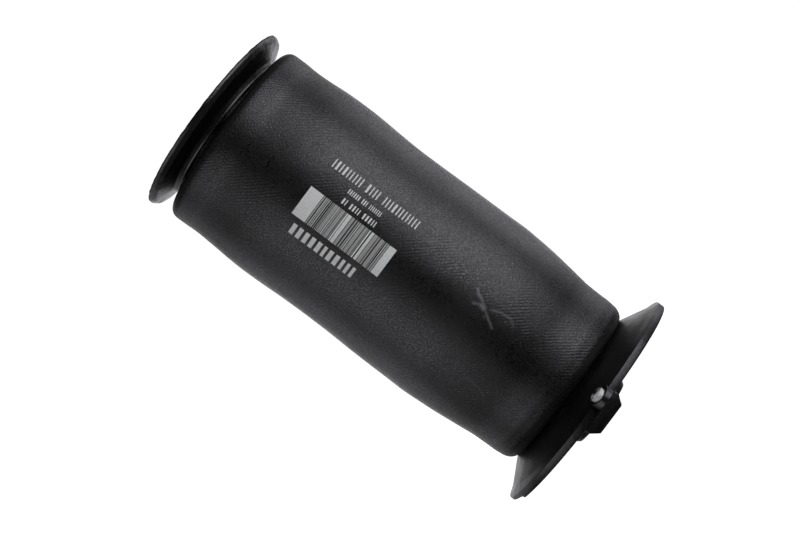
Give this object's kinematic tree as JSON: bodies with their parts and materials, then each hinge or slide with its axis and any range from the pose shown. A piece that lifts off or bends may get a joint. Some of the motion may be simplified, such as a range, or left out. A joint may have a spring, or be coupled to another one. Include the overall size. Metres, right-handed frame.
{
  "type": "air spring",
  "caption": "Rear-axle air spring: rolling-lobe rubber sleeve between a dished top plate and a flared base seat with a boss and a fixing ear.",
  "frame": {"origin": "on the spring's axis, at the underside of the base's centre boss, which the spring stands on", "axes": "+Z along the spring's axis from the base to the top plate; -Y towards the base's fixing ear"},
  "size_m": [0.1678, 0.1783, 0.3509],
  "materials": {
    "black_plastic": "satin moulded glass-filled nylon",
    "black_rubber": "matte rubber with fine crossed cord lines",
    "seal_rubber": "smooth matte rubber",
    "stop_foam": "matte cellular polyurethane",
    "zinc_steel": "zinc-plated steel",
    "crimp_aluminium": "turned aluminium",
    "brass": "machined brass",
    "plug_plastic": "smooth moulded plastic"
  },
  "bodies": {
    "lower": {"base_seat": "black_plastic", "steel_bush": "zinc_steel", "piston": "black_plastic", "piston_seal": "seal_rubber", "piston_screw_1": "zinc_steel", "piston_screw_2": "zinc_steel", "piston_screw_3": "zinc_steel", "piston_screw_4": "zinc_steel", "lower_crimp_ring": "crimp_aluminium", "bellows": "black_rubber"},
    "upper": {"top_plate": "black_plastic", "upper_crimp_ring": "crimp_aluminium", "bump_stop": "stop_foam", "bump_stop_cup": "zinc_steel", "bump_stop_screw": "zinc_steel", "top_insert_1": "brass", "top_insert_2": "brass", "top_isolator": "seal_rubber", "fitting_body": "brass", "fitting_seal": "seal_rubber"},
    "collet": {"fitting_collet": "black_plastic"},
    "plug": {"fitting_plug": "plug_plastic"}
  },
  "joints": [
    {"name": "compression", "type": "slide", "parent": "lower", "child": "upper", "axis": [0, 0, -1], "range_m": [0, 0.1], "stiffness_N_per_m": 4000, "deforming": ["bellows"]},
    {"name": "collet_press", "type": "slide", "parent": "upper", "child": "collet", "axis": [0, 0, -1], "range_m": [0, 0.001], "stiffness_N_per_m": 400},
    {"name": "plug_pull", "type": "slide", "parent": "upper", "child": "plug", "axis": [0, 0, 1], "range_m": [0, 0.01]}
  ]
}
